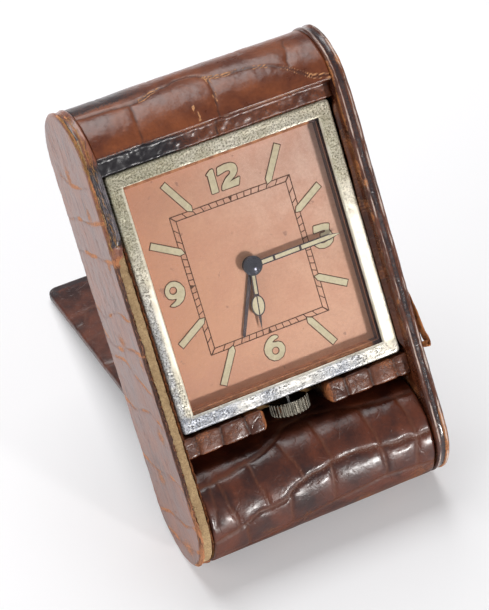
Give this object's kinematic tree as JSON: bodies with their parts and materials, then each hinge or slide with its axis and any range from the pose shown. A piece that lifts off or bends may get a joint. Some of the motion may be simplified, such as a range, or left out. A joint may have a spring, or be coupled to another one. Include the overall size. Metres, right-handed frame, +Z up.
{
  "type": "folding travel alarm clock",
  "caption": "Small rectangular alarm clock in a leather travel case with round-ended side flanges; its cover rolls over on a drum and folds back under it as a stand.",
  "frame": {"origin": "centre of the open clock's footprint, on the surface that it stands on", "axes": "+Z up, +X to the right of the dial, -Y the way the dial faces; the case leans back 39 degrees"},
  "size_m": [0.0676, 0.1026, 0.0957],
  "materials": {
    "crocodile_leather": "worn, glossy between fine cracks",
    "lining_leather": "smooth, worn",
    "board": "raw pressed board",
    "wood": "raw",
    "nickel": "worn nickel plate with fine patina",
    "crystal": "clear",
    "copper_wall": "dark copper, polished edge",
    "copper_dial": "matt copper",
    "luminous_paint": "aged cream",
    "hand_steel": "browned",
    "steel": "bright",
    "brass": "satin"
  },
  "bodies": {
    "case": {"flange_board_right": "board", "flange_board_left": "board", "flange_leather_right": "crocodile_leather", "flange_leather_left": "crocodile_leather", "flange_lining_right": "lining_leather", "flange_lining_left": "lining_leather", "top_roll_core": "wood", "top_roll_leather": "crocodile_leather", "back_board": "board", "back_leather": "crocodile_leather", "rail_core": "wood", "rail_leather": "crocodile_leather", "hinge_pins": "steel", "bezel": "nickel", "glass": "crystal", "dial_frame": "copper_wall", "dial": "copper_dial", "hour_batons": "luminous_paint", "clock_body": "nickel", "case_back": "nickel", "stem_tube": "nickel", "front_plate": "brass", "back_plate": "brass", "pillars": "brass", "plate_screws": "steel", "going_mainspring": "steel", "alarm_mainspring": "steel", "hairspring": "steel", "hairspring_stud": "brass", "gong": "steel", "minute_wheel_post": "brass", "stem_block": "brass"},
    "cover": {"drum_core": "wood", "drum_bushes": "brass", "cover_board": "board", "cover_leather": "crocodile_leather", "cover_lining": "lining_leather"},
    "setting_slide": {"setting_lever": "steel"},
    "crown": {"crown": "nickel", "winding_stem": "steel"},
    "minute_hand": {"cannon_pinion": "brass", "minute_hand": "hand_steel", "hub_cap": "hand_steel"},
    "minute_wheel": {"minute_wheel": "brass"},
    "hour_hand": {"hour_wheel": "brass", "hour_hand": "hand_steel"},
    "alarm_hand": {"alarm_wheel": "brass", "alarm_hand": "hand_steel"},
    "centre_wheel": {"centre_wheel": "brass"},
    "third_wheel": {"third_wheel": "brass"},
    "fourth_wheel": {"fourth_wheel": "brass"},
    "escape_wheel": {"escape_wheel": "steel"},
    "going_barrel": {"going_barrel": "brass"},
    "alarm_barrel": {"alarm_barrel": "brass"},
    "going_arbor": {"going_arbor": "steel"},
    "alarm_arbor": {"alarm_arbor": "steel"},
    "pallet_fork": {"pallet_fork": "steel"},
    "balance": {"balance_wheel": "brass"},
    "hammer": {"alarm_hammer": "steel"}
  },
  "joints": [
    {"name": "cover_fold", "type": "hinge", "parent": "case", "child": "cover", "pos_m": [0, -0.03758, 0.01355], "axis": [-1, 0, 0], "range_deg": [0, 293.15]},
    {"name": "crown_pull", "type": "slide", "parent": "case", "child": "setting_slide", "axis": [0, -0.6293, -0.7771], "range_m": [0, 0.0005]},
    {"name": "crown_turn", "type": "hinge", "parent": "setting_slide", "child": "crown", "pos_m": [0, -0.03159, 0.02825], "axis": [0, 0.6293, 0.7771], "continuous": true},
    {"name": "minute_hand_turn", "type": "hinge", "parent": "case", "child": "minute_hand", "pos_m": [0, -0.00909, 0.05867], "axis": [0, 0.7771, -0.6293], "continuous": true},
    {"name": "minute_wheel_turn", "type": "hinge", "parent": "case", "child": "minute_wheel", "pos_m": [-0.00491, -0.00919, 0.05432], "axis": [0, 0.7771, -0.6293], "continuous": true},
    {"name": "hour_hand_turn", "type": "hinge", "parent": "case", "child": "hour_hand", "pos_m": [0, -0.00909, 0.05867], "axis": [0, 0.7771, -0.6293], "continuous": true},
    {"name": "alarm_hand_turn", "type": "hinge", "parent": "case", "child": "alarm_hand", "pos_m": [0, -0.00909, 0.05867], "axis": [0, 0.7771, -0.6293], "continuous": true},
    {"name": "fourth_wheel_turn", "type": "hinge", "parent": "case", "child": "fourth_wheel", "pos_m": [0.01557, -0.00024, 0.05298], "axis": [0, 0.7771, -0.6293], "continuous": true},
    {"name": "escape_wheel_turn", "type": "hinge", "parent": "case", "child": "escape_wheel", "pos_m": [0.01407, -0.00635, 0.04798], "axis": [0, 0.7771, -0.6293], "continuous": true},
    {"name": "third_wheel_turn", "type": "hinge", "parent": "case", "child": "third_wheel", "pos_m": [0.00849, 0.00111, 0.06133], "axis": [0, 0.7771, -0.6293], "continuous": true},
    {"name": "centre_wheel_turn", "type": "hinge", "parent": "case", "child": "centre_wheel", "pos_m": [0, -0.00909, 0.05867], "axis": [0, 0.7771, -0.6293], "continuous": true},
    {"name": "going_barrel_turn", "type": "hinge", "parent": "case", "child": "going_barrel", "pos_m": [-0.01003, 0.00728, 0.05703], "axis": [0, 0.7771, -0.6293], "continuous": true},
    {"name": "alarm_barrel_turn", "type": "hinge", "parent": "case", "child": "alarm_barrel", "pos_m": [-0.0112, -0.00608, 0.04053], "axis": [0, 0.7771, -0.6293], "continuous": true},
    {"name": "going_winding", "type": "hinge", "parent": "case", "child": "going_arbor", "pos_m": [-0.01003, 0.00728, 0.05703], "axis": [0, 0.7771, -0.6293], "continuous": true},
    {"name": "alarm_winding", "type": "hinge", "parent": "case", "child": "alarm_arbor", "pos_m": [-0.0112, -0.00608, 0.04053], "axis": [0, 0.7771, -0.6293], "continuous": true},
    {"name": "pallet_rock", "type": "hinge", "parent": "case", "child": "pallet_fork", "pos_m": [0.00971, -0.00813, 0.04578], "axis": [0, 0.7771, -0.6293], "range_deg": [-4, 4]},
    {"name": "balance_swing", "type": "hinge", "parent": "case", "child": "balance", "pos_m": [0.00269, -0.01345, 0.04224], "axis": [0, 0.7771, -0.6293], "range_deg": [-240, 240], "stiffness_Nm_per_rad": 0.000004, "deforming": ["hairspring"]},
    {"name": "hammer_strike", "type": "hinge", "parent": "case", "child": "hammer", "pos_m": [-0.0024, -0.01476, 0.03315], "axis": [0, 0.7771, -0.6293], "range_deg": [-7, 6]}
  ],
  "couplings": [
    {"joint": "hour_hand_turn", "follows": "minute_hand_turn", "ratio": 0.083333},
    {"joint": "minute_wheel_turn", "follows": "minute_hand_turn", "ratio": -0.33333},
    {"joint": "escape_wheel_turn", "follows": "fourth_wheel_turn", "ratio": -8},
    {"joint": "third_wheel_turn", "follows": "fourth_wheel_turn", "ratio": -0.13333},
    {"joint": "centre_wheel_turn", "follows": "fourth_wheel_turn", "ratio": 0.014815},
    {"joint": "going_barrel_turn", "follows": "fourth_wheel_turn", "ratio": -0.0018519}
  ]
}
